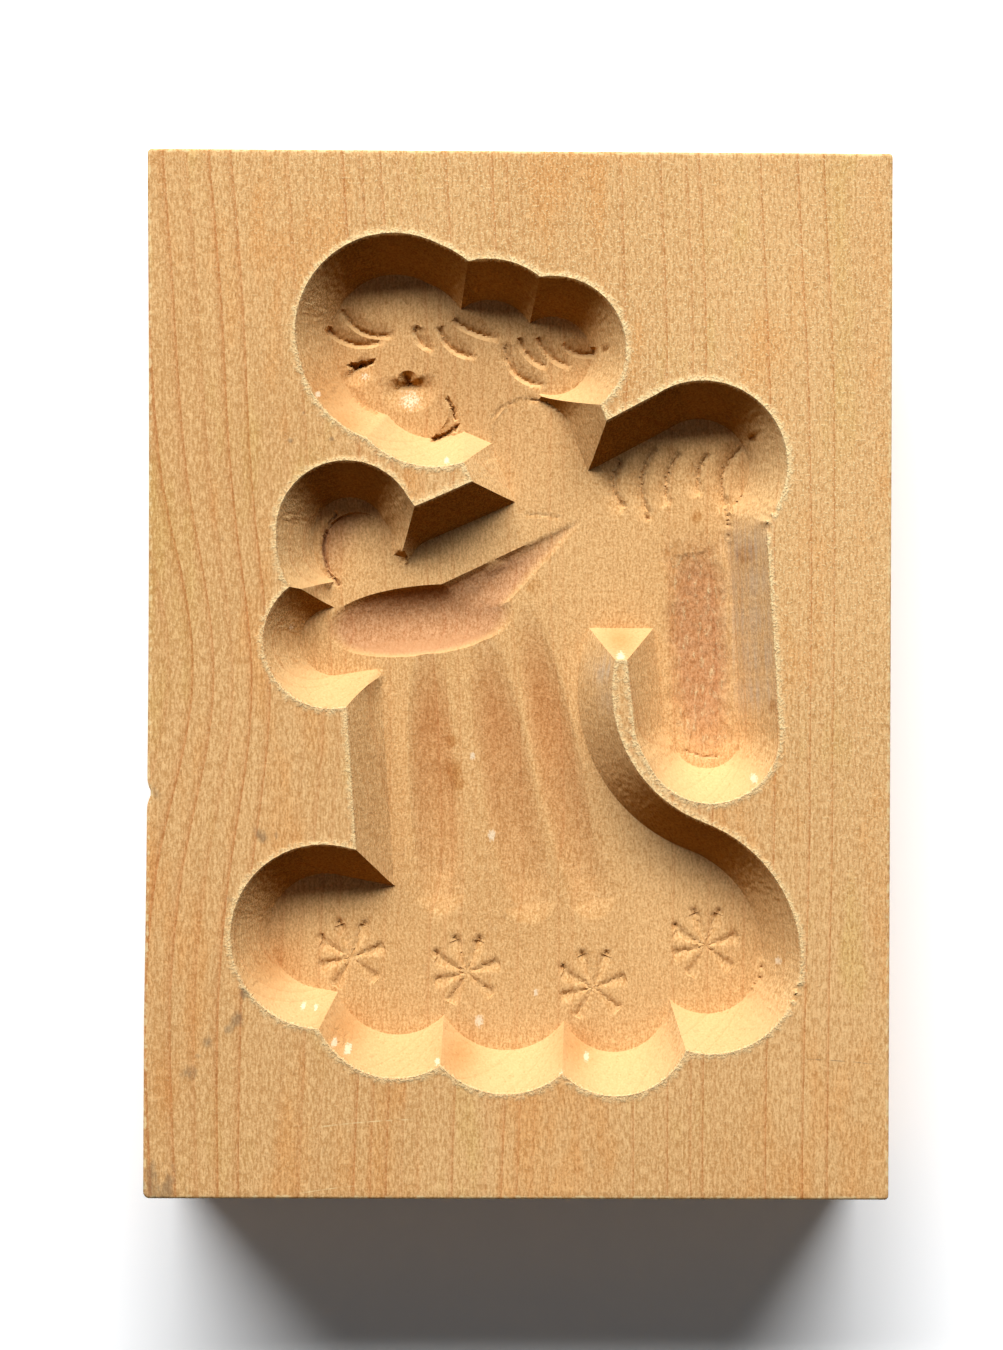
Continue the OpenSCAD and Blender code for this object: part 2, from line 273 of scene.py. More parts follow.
class StageSettings(bpy.types.PropertyGroup):
    """The floor, the window light and the camera."""

    camera_height: length_property("Camera height", "Height of the camera above the face", 230.0)
    view_length: length_property("View length", "Length that the view takes in at the face", 128.45)
    camera_x: length_property("Camera across", "Place of the camera across the block", -1.57)
    camera_roll: FloatProperty(
        name="Camera roll", description="Turn of the camera about its own axis", default=math.radians(0.25),
        subtype="ANGLE",
    )
    lamp_distance: length_property("Lamp distance", "Distance of the window from the block", 1600.0)
    lamp_width: length_property("Lamp width", "Width of the window", 2100.0)
    lamp_height: length_property("Lamp height", "Height of the window", 540.0)
    lamp_rise: FloatProperty(
        name="Lamp rise", description="Height of the window's middle above the floor, as an angle",
        default=math.radians(38), subtype="ANGLE",
    )
    lamp_turn: FloatProperty(
        name="Lamp turn", description="Turn of the window to the left of the block's top",
        default=math.radians(4.5), subtype="ANGLE",
    )
    lamp_power: FloatProperty(
        name="Lamp power", description="Power of the window", default=54.0, unit="POWER"
    )
    fill: FloatProperty(name="Fill", description="Strength of the light from all round", default=0.042)
    floor_size: length_property("Floor size", "Radius of the floor", 600.0)
    floor_colour: colour_property("Floor colour", "Colour of the paper floor", 250, 251, 252)
    floor_gain: FloatProperty(
        name="Floor gain", description="Extra light that the camera sees on the paper", default=0.43
    )
    floor_glow: colour_property("Floor glow", "Least light that the camera sees on the paper", 25, 33, 39)


class Graph:
    """Adds nodes to a tree and joins them, so that a finish reads as a formula."""

    def __init__(self, tree):
        self.tree = tree

    def node(self, kind, *values, out=0, **settings):
        """A node with its first inputs set or joined in order, and its output of that number."""
        made = self.tree.nodes.new(kind)
        for name, value in settings.items():
            setattr(made, name, value)
        for socket, value in zip(made.inputs, values):
            self.put(socket, value)
        return made.outputs[out]

    def put(self, socket, value):
        if value is None:
            return
        if isinstance(value, bpy.types.NodeSocket):
            self.tree.links.new(value, socket)
        else:
            socket.default_value = value

    def math(self, operation, *values):
        return self.node("ShaderNodeMath", *values, operation=operation)

    def add(self, first, *others):
        for other in others:
            first = self.math("ADD", first, other)
        return first

    def times(self, first, *others):
        for other in others:
            first = self.math("MULTIPLY", first, other)
        return first

    def vector(self, operation, *values, out=0):
        return self.node("ShaderNodeVectorMath", *values, operation=operation, out=out)

    def scaled(self, vector, share):
        made = self.tree.nodes.new("ShaderNodeVectorMath")
        made.operation = "SCALE"
        self.put(made.inputs["Vector"], vector)
        self.put(made.inputs["Scale"], share)
        return made.outputs["Vector"]

    def noise(self, place, stretch, seed=0.0, detail=2.0, rough=0.5, out=0):
        """Noise over a place in millimetres, with this many cells a millimetre each way."""
        made = self.tree.nodes.new("ShaderNodeTexNoise")
        made.noise_dimensions = "4D"
        self.put(made.inputs["Vector"], self.vector("MULTIPLY", place, stretch))
        self.put(made.inputs["W"], seed)
        self.put(made.inputs["Scale"], 1.0)
        self.put(made.inputs["Detail"], detail)
        self.put(made.inputs["Roughness"], rough)
        return made.outputs[out]

    def ramp(self, value, low, high, to_low=0.0, to_high=1.0):
        """A smooth step of a value from one range to another."""
        made = self.tree.nodes.new("ShaderNodeMapRange")
        made.interpolation_type = "SMOOTHSTEP"
        for socket, number in zip(made.inputs, (value, low, high, to_low, to_high)):
            self.put(socket, number)
        return made.outputs[0]

    def blend(self, share, first, second):
        """One colour turning into another."""
        made = self.tree.nodes.new("ShaderNodeMix")
        made.data_type = "RGBA"
        self.put(made.inputs[0], share)
        self.put(made.inputs[6], first)
        self.put(made.inputs[7], second)
        return made.outputs[2]

    def tinted(self, share, colour, tint):
        """A colour turning into its product with a tint."""
        return self.blend(share, colour, self.vector("MULTIPLY", colour, tint))


def solid_colour(rgb):
    return (*rgb, 1.0)


# Growth rings, fibres and marks of the wood

def growth_line(graph, place, wood):
    """How far a place lies in the dark late wood of a growth ring, from 0 to 1."""
    x, y, z = (graph.node("ShaderNodeSeparateXYZ", place, out=i) for i in range(3))
    up = graph.math("POWER", graph.times(y, 1 / SWERVE_REACH), 2.0)
    from_left = graph.times(graph.add(x, FACE.x / MM), -1 / SWERVE_REACH)
    swerve = graph.times(
        graph.math("EXPONENT", graph.times(up, -1.0)), graph.math("EXPONENT", from_left), -SWERVE
    )
    sway = graph.times(graph.add(graph.noise(place, (0.03, 0.012, 0.03), 1.0), -0.5), SWAY)
    across = graph.add(x, -wood.pith_x / MM, swerve, sway, graph.times(y, GRAIN_LEAN))
    deep = graph.add(z, -wood.pith_z / MM)
    radius = graph.math("SQRT", graph.add(graph.math("POWER", across, 2.0), graph.math("POWER", deep, 2.0)))
    turn = graph.times(radius, MM / wood.ring_step)
    share = graph.math("FRACT", turn)
    strength = graph.node("ShaderNodeTexWhiteNoise", None, graph.math("FLOOR", turn), noise_dimensions="1D")
    line = graph.times(graph.ramp(share, 0.5, 0.94), graph.ramp(share, 0.95, 1.0, 1.0, 0.0))
    thin = graph.times(graph.ramp(share, 0.82, 0.94), graph.ramp(share, 0.95, 1.0, 1.0, 0.0))
    broad = graph.times(line, graph.ramp(strength, 0.1, 1.0, 0.15, 1.0))
    return graph.add(broad, graph.times(thin, graph.ramp(strength, 0.5, 0.9)))


def scratch_mask(graph, place, scratches):
    """Thin straight marks on the land."""
    total = 0.0
    for x, y, length, heading, width in scratches:
        turned = graph.node(
            "ShaderNodeMapping", place, (x, y, 0.0), (0.0, 0.0, math.radians(heading)), vector_type="TEXTURE"
        )
        along, aside = (graph.node("ShaderNodeSeparateXYZ", turned, out=i) for i in range(2))
        bent = graph.add(aside, graph.times(graph.math("POWER", along, 2.0), 0.006))
        line = graph.ramp(graph.math("ABSOLUTE", bent), width * 0.4, width, 1.0, 0.0)
        ends = graph.ramp(graph.math("ABSOLUTE", along), length * 0.3, length * 0.5, 1.0, 0.0)
        total = graph.add(graph.times(line, ends), total)
    return graph.times(total, graph.ramp(graph.noise(place, (1.1, 1.1, 1.1), 8.0), 0.35, 0.6))


def attribute(graph, name):
    return graph.node("ShaderNodeAttribute", attribute_name=name, out=2)


def wood_surface(graph):
    """What the wood's colour and relief share: places in millimetres, kinds of surface and noises."""
    place = graph.scaled(graph.node("ShaderNodeTexCoord", out=3), 1 / MM)
    normal = graph.node("ShaderNodeTexCoord", out=1)
    x, y = (graph.node("ShaderNodeSeparateXYZ", place, out=i) for i in range(2))
    _, upward, outward = (graph.node("ShaderNodeSeparateXYZ", normal, out=i) for i in range(3))
    facing = graph.vector("DOT_PRODUCT", normal, FELTED_SIDE, out=1)
    cut = attribute(graph, "cut")
    return SimpleNamespace(
        place=place,
        x=x,
        upper_right=graph.ramp(graph.add(x, y), -25.0, 60.0),
        cut=cut,
        land=graph.math("SUBTRACT", 1.0, cut),
        torn=attribute(graph, "torn"),
        felt=graph.times(graph.ramp(facing, 0.86, 0.97), cut),
        level=graph.times(graph.ramp(outward, 0.6, 0.9), cut),
        smooth=graph.times(graph.ramp(upward, 0.2, 0.6), cut),
        # Walls that face down the figure, against the light, where the end tint paints shade
        against=graph.times(graph.ramp(upward, -0.35, -0.7), cut),
        fibres=graph.noise(place, (2.2, 0.07, 2.2), 2.0, 4.0, 0.65),
        flecks=graph.noise(place, (4.4, 1.2, 4.4), 3.0, 2.0, 0.6),
        pores=graph.ramp(graph.noise(place, (4.6, 0.9, 4.6), 4.0, 1.0), 0.60, 0.74, 0.0, 0.35),
        grit=graph.noise(place, (5.2, 4.0, 5.2), 5.0, 3.0, 0.65),
        patches=graph.noise(place, (0.9, 0.5, 0.9), 10.0, 3.0, 0.6),
    )


def raised_fibres(graph, surface):
    """How far fibres stand up on the land, along the rim and in the torn trough, from 0 to 1."""
    place = surface.place
    pale = graph.ramp(graph.noise(place, (5.6, 4.2, 5.6), 9.0, 1.0), 0.5, 0.72)
    lifted = graph.times(pale, graph.ramp(surface.upper_right, 0.0, 1.0, 0.15, 0.6), surface.land)
    stray = graph.ramp(graph.noise(place, (1.6, 1.6, 1.6), 11.0), 0.3, 0.7, -0.3, 0.2)
    reach = graph.ramp(graph.add(attribute(graph, "rim"), stray), 0.2, 0.95)
    tufts = graph.ramp(graph.noise(place, (5.0, 4.0, 5.0), 7.0), 0.35, 0.62, 0.35, 1.0)
    fuzz = graph.times(reach, tufts, graph.ramp(surface.cut, 0.2, 0.9, 1.0, 0.0))
    slivers = graph.ramp(graph.noise(place, (2.4, 0.9, 2.4), 13.0, 4.0, 0.7), 0.52, 0.7)
    return lifted, fuzz, graph.times(slivers, surface.torn)


def grown_colour(graph, wood, surface):
    """Colour of the wood as it grew and was cut through: growth lines, hues and grain."""
    clouds = graph.noise(surface.place, (0.06, 0.03, 0.06), 6.0, 2.0)
    hues = graph.noise(surface.place, (0.17, 0.045, 0.17), 12.0, 3.0, 0.6)
    lines = graph.times(
        growth_line(graph, surface.place, wood),
        graph.ramp(surface.cut, 0.0, 1.0, 0.38, 0.2),
        graph.ramp(surface.smooth, 0.0, 1.0, 1.0, 0.6),
    )
    colour = graph.blend(lines, solid_colour(wood.early), solid_colour(wood.late))
    colour = graph.tinted(graph.times(graph.ramp(hues, 0.5, 0.66), surface.land), colour, (1.0, 0.88, 0.76))
    colour = graph.tinted(graph.times(graph.ramp(hues, 0.46, 0.3), surface.land), colour, (0.96, 1.0, 0.88))
    gritty = graph.add(graph.times(surface.felt, 6.0), graph.ramp(surface.cut, 0.0, 1.0, 2.6, 3.5))
    grain = graph.add(
        graph.times(graph.add(surface.fibres, -0.5), graph.ramp(surface.cut, 0.0, 1.0, 0.9, 0.4)),
        graph.times(graph.add(surface.flecks, -0.5), graph.ramp(surface.cut, 0.0, 1.0, 3.7, 2.3)),
        graph.times(graph.add(surface.grit, -0.5), gritty),
    )
    tone = graph.add(
        graph.times(grain, graph.ramp(surface.smooth, 0.0, 1.0, 1.0, 0.25)),
        graph.ramp(clouds, 0.3, 0.7, -0.1, 0.1),
        graph.ramp(surface.x, -36.0, 12.0, -0.14, 0.0),
        0.5,
    )
    dark = graph.vector("MULTIPLY", colour, (0.80, 0.72, 0.62))
    light = graph.vector("MULTIPLY", colour, (1.20, 1.28, 1.38))
    return graph.blend(tone, dark, light)


def cut_colour(graph, wood, surface, colour):
    """Colour as the cutter, the hands and the dough have changed it on each kind of surface, with painted
    shade on walls that face away from the light, in deep cuts, in the gown's folds and on the head's floor.
    """
    patches = surface.patches
    brown = graph.add(attribute(graph, "brown"), graph.ramp(patches, 0.2, 0.8, -0.5, 0.5))
    for share, tint in (
        (surface.pores, (0.70, 0.55, 0.42)),
        (surface.land, tuple(wood.land_tint)),
        (surface.level, tuple(wood.floor_tint)),
        # Painted shade on walls facing away from the light
        (surface.against, tuple(wood.shaded_wall_tint)),
        # Painted shade in deep cuts, and in the gown's folds darkest towards their tops
        (attribute(graph, "deep"), (0.79, 0.69, 0.76)),
        (attribute(graph, "fold"), (0.82, 0.68, 0.61)),
        (attribute(graph, "rosy"), (0.87, 0.74, 0.64)),
        # Painted shade on the head's floor
        (graph.times(attribute(graph, "head_shade"), surface.level), (0.80, 0.77, 0.75)),
        (graph.times(surface.torn, graph.ramp(patches, 0.35, 0.6, 0.4, 1.0)), (1.0, 0.94, 0.86)),
        (graph.ramp(brown, 0.3, 1.0), (0.80, 0.68, 0.55)),
    ):
        colour = graph.tinted(share, colour, tint)
    return colour


def marked_colour(graph, wood, surface, raised, colour):
    """Colour with the raised fibres, bloom, flour, stains and scratches over it, with painted highlight in
    the half dishes and along the outer edges, and painted shade in the chips, knife lines and gouge creases.
    """
    lifted, fuzz, slivers = raised
    rough = graph.noise(surface.place, (1.2, 1.2, 1.2), 14.0, 3.0, 0.6)
    # Pale frayed fibres along the outer edges, which also paint the highlight that runs along them
    fray_and_highlight = graph.add(attribute(graph, "edge"), graph.ramp(rough, 0.3, 0.7, -0.35, 0.15))
    rim_fuzz = graph.times(fuzz, graph.ramp(surface.upper_right, 0.0, 1.0, 0.65, 1.0))
    fibres = graph.math("MAXIMUM", lifted, rim_fuzz)
    fibres = graph.math("MAXIMUM", fibres, graph.times(slivers, 0.6))
    fibres = graph.math("MAXIMUM", fibres, graph.ramp(fray_and_highlight, 0.82, 1.1, 0.0, 0.6))
    rubbed = graph.times(attribute(graph, "bloom"), graph.ramp(surface.fibres, 0.38, 0.62, 0.1, 0.55))
    flour_and_highlight = graph.add(attribute(graph, "flour_and_highlight"), graph.ramp(surface.grit, 0.2, 0.8, -0.3, 0.3))
    stain = graph.add(attribute(graph, "stain"), graph.ramp(surface.patches, 0.2, 0.8, -0.6, 0.6))
    cut_shade = graph.add(attribute(graph, "cut_shade"), graph.ramp(surface.grit, 0.2, 0.8, -0.4, 0.4))
    for share, over in (
        (fibres, wood.fibre),
        (rubbed, wood.bloom),
        # Flour, and painted highlight in the half dishes
        (graph.ramp(flour_and_highlight, 0.4, 0.8, 0.0, 0.7), wood.flour_and_highlight),
        (graph.ramp(stain, 0.3, 1.1, 0.0, 0.5), wood.stain),
    ):
        colour = graph.blend(share, colour, solid_colour(over))
    # Painted shade in the chips, the knife lines and the creases of the gouge strokes
    colour = graph.tinted(graph.ramp(cut_shade, 0.35, 0.7), colour, (0.46, 0.35, 0.25))
    for scratches, over in ((SCRATCHES, wood.fibre), (SHAKES, wood.stain)):
        share = graph.times(scratch_mask(graph, surface.place, scratches), surface.land, 0.5)
        colour = graph.blend(share, colour, solid_colour(over))
    return colour


def relief(graph, surface, raised):
    """Height of the grain and of its raised fibres, as a share of the relief's own height."""
    lifted, fuzz, slivers = raised
    height = graph.add(
        graph.times(surface.fibres, 0.3),
        graph.times(surface.flecks, 0.6),
        graph.times(surface.grit, graph.ramp(surface.cut, 0.0, 1.0, 0.7, 1.3)),
        graph.times(surface.grit, surface.felt, 4.5),
        graph.times(slivers, 0.8),
    )
    return graph.add(
        graph.times(height, graph.ramp(surface.smooth, 0.0, 1.0, 1.0, 0.3)),
        graph.times(fuzz, 1.2),
        graph.times(lifted, 0.6),
        graph.times(surface.pores, -0.8),
    )


def bare_wood(wood):
    """Pale close-grained wood, sanded on the land and tool-cut in the figure."""
    material = bpy.data.materials.new("bare_wood")
    material.use_nodes = True
    graph = Graph(material.node_tree)
    surface = wood_surface(graph)
    raised = raised_fibres(graph, surface)
    colour = grown_colour(graph, wood, surface)
    colour = cut_colour(graph, wood, surface, colour)
    colour = marked_colour(graph, wood, surface, raised, colour)
    bump = graph.tree.nodes.new("ShaderNodeBump")
    bump.inputs["Strength"].default_value = 1.0
    bump.inputs["Distance"].default_value = GRAIN_HEIGHT * MM
    graph.put(bump.inputs["Height"], relief(graph, surface, raised))
    shader = material.node_tree.nodes["Principled BSDF"]
    graph.put(shader.inputs["Base Color"], colour)
    graph.put(shader.inputs["Roughness"], graph.ramp(surface.fibres, 0.2, 0.8, 0.58, 0.74))
    graph.put(shader.inputs["Normal"], bump.outputs["Normal"])
    shader.inputs["Specular IOR Level"].default_value = 0.0
    return material


def seen_ray(graph):
    """1 on a ray that shows a surface to the camera, also by gloss or glass, and 0 on the light's rays."""
    path = graph.tree.nodes.new("ShaderNodeLightPath").outputs
    seen = graph.math("MAXIMUM", path["Is Camera Ray"], path["Is Glossy Ray"])
    return graph.math("MAXIMUM", seen, path["Is Transmission Ray"])


def paper_floor(stage):
    """White paper, which looks overexposed, and which fades into the white surroundings at its edge."""
    material = bpy.data.materials.new("paper_floor")
    material.use_nodes = True
    graph = Graph(material.node_tree)
    white = solid_colour(stage.floor_colour)
    paper = graph.node("ShaderNodeBsdfDiffuse", white)
    gain = graph.node("ShaderNodeBsdfDiffuse", solid_colour(stage.floor_gain * c for c in stage.floor_colour))
    glow = graph.node("ShaderNodeEmission", solid_colour(stage.floor_glow), 1.0)
    bright = graph.node("ShaderNodeAddShader", paper, graph.node("ShaderNodeAddShader", gain, glow))
    lit = graph.node("ShaderNodeMixShader", seen_ray(graph), paper, bright)
    distance = graph.vector("LENGTH", graph.node("ShaderNodeTexCoord", out=3), out=1)
    fade = graph.ramp(distance, stage.floor_size * 0.4, stage.floor_size * 0.95)
    faded = graph.node("ShaderNodeMixShader", fade, lit, graph.node("ShaderNodeBsdfTransparent"))
    graph.put(material.node_tree.nodes["Material Output"].inputs["Surface"], faded)
    return material


# The block's mesh

def merged_solid():
    """The block's solid as one closed mesh."""
    solid = bmesh.new()
    solid.from_mesh(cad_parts[BLOCK].data)
    bmesh.ops.remove_doubles(solid, verts=solid.verts, dist=1e-8)
    return solid


def from_above(surface, x, y):
    """Height of the solid's surface where it shows from above."""
    hit = surface.ray_cast(Vector((x, y, FACE.z + MM)), Vector((0, 0, -1)))[0]
    return FACE.z if hit is None else hit.z


def cut_edges(solid, surface, least_angle=math.radians(20)):
    """The crisp edges of the figure that show from above, as pairs of points, and which lie on the rim."""
    inset = 1.5 * MM
    hidden_by = 0.03 * MM
    pairs = []
    on_rim = []
    for edge in solid.edges:
        a, b = (v.co.copy() for v in edge.verts)
        middle = (a + b) / 2
        outside = abs(middle.x) > FACE.x - inset or abs(middle.y) > FACE.y - inset
        if outside or middle.z < (BACK.z + FACE.z) / 2 or edge.calc_face_angle(0.0) < least_angle:
            continue
        if from_above(surface, middle.x, middle.y) > middle.z + hidden_by or blended(middle):
            continue
        pairs.append((a, b))
        on_rim.append(min(a.z, b.z) > FACE.z - SAME_HEIGHT * MM)
    return pairs, on_rim


def blended(point):
    """Whether a point lies on a wall where two passes of the cutter run into each other."""
    near = any(math.hypot(point.x / MM - x, point.y / MM - y) < radius for x, y, radius in BLENDED)
    margin = 0.5 * MM
    return near and FLOOR + margin < point.z < FACE.z - margin


def tree_of(points):
    tree = kdtree.KDTree(len(points))
    for i, point in enumerate(points):
        tree.insert((point[0], point[1], 0.0), i)
    tree.balance()
    return tree


def along(a, b, step):
    """Points from a up to b, b left out, no further than a step apart."""
    count = max(1, math.ceil((b - a).length / step))
    return [a.lerp(b, i / count) for i in range(count)]


def outline(settings):
    """Points round the top of the face, anticlockwise, each with the direction that points outwards."""
    half = Vector((FACE.x - settings.edge_round, FACE.y - settings.edge_round))
    radii = (settings.corner_round, settings.corner_round, settings.worn_corner, settings.corner_round)
    corners = ((1, 1), (-1, 1), (-1, -1), (1, -1))
    arc_steps = 4
    knots = []
    for turn, ((side, end), radius) in enumerate(zip(corners, radii)):
        centre = Vector((side * (half.x - radius), end * (half.y - radius)))
        for k in range(arc_steps + 1):
            angle = (turn + k / arc_steps) * math.pi / 2
            outward = Vector((math.cos(angle), math.sin(angle)))
            knots.append((centre + radius * outward, outward))
    points = []
    for (a, outward), (b, _) in zip(knots, knots[1:] + knots[:1]):
        points += [(point, outward) for point in along(a, b, settings.edge_step)]
    return points


def figure_points(settings, surface, crisp, rim):
    """Points of the cut figure and of the land along its rim, in rows shaken out of line."""
    step = settings.cut_step
    row_step = step * math.sqrt(3) / 2
    rows = int(2 * FACE.y / row_step)
    columns = int(2 * FACE.x / step)
    farthest = 0.16
    shake = np.random.default_rng(settings.seed).uniform(-farthest, farthest, (rows, columns, 2)) * step
    margin = 2 * MM
    found = []
    for row in range(rows):
        for column in range(columns):
            x = -FACE.x + (column + 0.5 * (row % 2)) * step + shake[row, column, 0]
            y = -FACE.y + row * row_step + shake[row, column, 1]
            if abs(x) > FACE.x - margin or abs(y) > FACE.y - margin:
                continue
            in_cut = from_above(surface, x, y) < FACE.z - SAME_HEIGHT * MM
            if not in_cut and rim.find((x, y, 0.0))[2] > settings.rim_band:
                continue
            if crisp.find((x, y, 0.0))[2] > 0.6 * step:
                found.append(Vector((x, y)))
    return found


def land_points(settings, taken):
    """Points of the land, away from those that are taken."""
    step = settings.land_step
    found = []
    for row in range(int(2 * FACE.y / step)):
        for column in range(int(2 * FACE.x / step)):
            x = -FACE.x + (column + 0.5 + 0.25 * (row % 2)) * step
            y = -FACE.y + (row + 0.5) * step
            if taken.find((x, y, 0.0))[2] > step / 2:
                found.append(Vector((x, y)))
    return found


def stain_points(taken):
    """Points in rings round the stains on the land, away from those that are taken."""
    rings = 6
    rings_in_radius = 3
    found = []
    for x, y, size in STAINS:
        centre = Vector((x, y)) * MM
        radius = size * MM
        for ring in range(1, rings + 1):
            for k in range(4 * ring):
                angle = k * math.pi / (2 * ring)
                point = centre + Vector((math.cos(angle), math.sin(angle))) * radius * ring / rings_in_radius
                inside = abs(point.x) < FACE.x - MM and abs(point.y) < FACE.y - MM
                if inside and taken.find((point.x, point.y, 0.0))[2] > radius / (2 * rings_in_radius):
                    found.append(point)
    return found


def edge_tree(pairs, step):
    """The points along edges, for finding the nearest one."""
    return tree_of([p for a, b in pairs for p in along(a, b, step)])


def plan_points(settings, surface, pairs, rim_pairs, edge_points):
    """Points of the plan between its crisp edges: close together in the figure, far apart on the land."""
    half_step = settings.cut_step / 2
    crisp, rim = (edge_tree(edges, half_step) for edges in (pairs, rim_pairs))
    found = figure_points(settings, surface, crisp, rim)
    found += [p - settings.fray_band * outward for p, outward in edge_points[::2]]
    taken = tree_of(found + [p for p, _ in edge_points])
    return found + land_points(settings, taken) + stain_points(taken)


def plan_mesh(settings, solid):
    """The carved side as triangles over its plan, with its crisp edges kept, lifted on to the solid."""
    surface = bvhtree.BVHTree.FromBMesh(solid)
    pairs, on_rim = cut_edges(solid, surface)
    rim_pairs = [pair for pair, top in zip(pairs, on_rim) if top]
    edge_points = outline(settings)
    points = [p for p, _ in edge_points]
    known = [FACE.z] * len(points)
    joins = [(i, (i + 1) % len(points)) for i in range(len(points))]
    for a, b in pairs:
        run = along(a, b, settings.cut_step) + [b]
        joins += [(len(points) + i, len(points) + i + 1) for i in range(len(run) - 1)]
        points += [p.to_2d() for p in run]
        known += [p.z for p in run]
    points += plan_points(settings, surface, pairs, rim_pairs, edge_points)
    merge_distance = 1e-6
    placed, edges, faces, origins, _, _ = geometry.delaunay_2d_cdt(points, joins, [], 1, merge_distance)
    heights = np.empty(len(placed))
    for i, (point, origin) in enumerate(zip(placed, origins)):
        given = [known[k] for k in origin if k < len(known)]
        heights[i] = max(given) if given else from_above(surface, point.x, point.y)
    crisp, rim = (
        np.array([tree.find((p.x, p.y, 0.0))[2] for p in placed])
        for tree in (edge_tree(pairs, 0.1 * MM), edge_tree(rim_pairs, 0.1 * MM))
    )
    plan = np.array([(p.x, p.y) for p in placed])
    heights = all_eased(plan, heights, np.array(edges), crisp)
    return plan, faces, heights, rim, edge_points


def all_eased(plan, heights, ends, crisp):
    """Heights eased away from the crisp edges, and more where two passes of the cutter meet."""
    share = np.clip((crisp - 0.5 * MM) / (0.6 * MM), 0, 1)
    for _ in range(EASINGS):
        heights = eased(heights, ends, share)
    near = np.max([2 - 2 * np.hypot(*(plan / MM - (x, y)).T) / radius for x, y, radius in BLENDED], axis=0)
    share = np.clip(crisp / (0.4 * MM), 0, 1) * np.clip(near, 0, 1)
    for _ in range(BLEND_EASINGS):
        heights = eased(heights, ends, share)
    return heights


def eased(heights, ends, share):
    """Heights drawn towards their neighbours' mean, by up to half of the way where the share is 1."""
    count = np.bincount(ends.ravel(), minlength=len(heights))
    both_ways = np.concatenate((ends, ends[:, ::-1]))
    total = np.bincount(both_ways[:, 0], weights=heights[both_ways[:, 1]], minlength=len(heights))
    return heights + share / 2 * (total / np.maximum(count, 1) - heights)


def mark_weight(points, marks, tall=1.0):
    """How far each point lies in the marks, from 0 to 1. Marks are this many times as tall as wide."""
    weight = np.zeros(len(points))
    for x, y, radius in marks:
        square = ((points[:, 0] - x * MM) ** 2 + ((points[:, 1] - y * MM) / tall) ** 2) / (radius * MM) ** 2
        weight = np.maximum(weight, np.exp(-square))
    return weight


def heading_of(degrees):
    """The direction of a heading, counted anticlockwise from the right."""
    return np.array((math.cos(math.radians(degrees)), math.sin(math.radians(degrees))))


def petal_chips():
    """Chips at the outer ends of the flowers' upper petals."""
    places = [np.array(flower) + CHIP_REACH * heading_of(turn) for flower in FLOWERS for turn in CHIPPED]
    return tuple((x, y, PETAL_CHIP) for x, y in places)


def half_dishes(plan):
    """Depth of the half dishes in the face."""
    depth = np.zeros(len(plan))
    for x, y, radius, middle_depth, heading in HALF_DISHES:
        offset = plan / MM - (x, y)
        away = np.hypot(*offset.T)
        side = np.clip(0.35 + 1.3 * (offset @ heading_of(heading)) / np.maximum(away, 0.1), 0, 1)
        depth = np.maximum(depth, middle_depth * MM * np.clip(1 - away / radius, 0, 1) * side)
    return depth


def line_share(plan, places, half_width):
    """How far each point lies in a line through places, from 0 at its edges to 1 at its middle."""
    nearest = np.full(len(plan), np.inf)
    for start, end in zip(places, places[1:]):
        run = np.subtract(end, start)
        offset = plan / MM - start
        share = np.clip(offset @ run / (run @ run), 0, 1)
        nearest = np.minimum(nearest, np.hypot(*(offset - share[:, None] * run).T))
    return np.clip(1 - nearest / half_width, 0, 1)


def ragged(plan, settings):
    """The plan's points moved about a little, which leaves a ragged edge on what is cut through them."""
    x, y = plan.T / MM
    across = np.sin(7.3 * y + 2.1 * x) + np.sin(13.7 * y)
    up = np.sin(6.7 * x - 2.9 * y) + np.sin(12.1 * x)
    return plan + settings.ragged * np.stack((across, up), axis=1)


def circle_through(a, b, c):
    """Middle and radius of the circle through three places."""
    a, b, c = (np.array(p) for p in (a, b, c))
    rows = np.array((b - a, c - a))
    middle = np.linalg.solve(rows, (rows * np.array((a + b, a + c))).sum(axis=1) / 2)
    return middle, np.hypot(*(a - middle))


def petals(plan, settings):
    """Depth of the flowers' petals, knife cuts that widen and deepen towards their outer ends."""
    depth = np.zeros(len(plan))
    for x, y in FLOWERS:
        offset = plan - np.array((x, y)) * MM
        for turn in PETAL_TURNS:
            heading = heading_of(turn)
            out = offset @ heading / settings.petal_length
            upwards = np.array((-heading[1], heading[0])) * math.copysign(1, heading[0])
            aside = offset @ upwards / (settings.petal_width * np.clip(out, 0.15, 1))
            share = np.clip(out, 0.05, 1) * np.clip((1 - out) / 0.08, 0, 1)
            lower_side = (1 + aside) / (1 + PETAL_LEAN)
            upper_side = (1 - aside) / (1 - PETAL_LEAN)
            across = np.clip(np.minimum(lower_side, upper_side), 0, 1)
            depth = np.maximum(depth, settings.petal_depth * np.sqrt(share) * across * (out > 0))
    return depth


def fold_ends(plan, settings):
    """Depth of the scooped lower ends of the gown's folds, which rise more steeply at the tip than above."""
    depth = np.zeros(len(plan))
    for x, y, turn, half_width in FOLD_ENDS:
        heading = heading_of(turn)
        offset = plan - np.array((x, y)) * MM
        up = offset @ heading / settings.fold_end_length
        across = offset @ (-heading[1], heading[0]) / (half_width * MM)
        length_share = np.interp(up, (0.0, 0.13, 0.28, 1.0), (0.0, 0.75, 1.0, 0.0))
        narrowing = np.sqrt(np.clip(up / 0.12, 0.01, 1))
        depth = np.maximum(depth, length_share * np.clip(1 - (across / narrowing) ** 2, 0, 1))
    return settings.fold_end_depth * depth


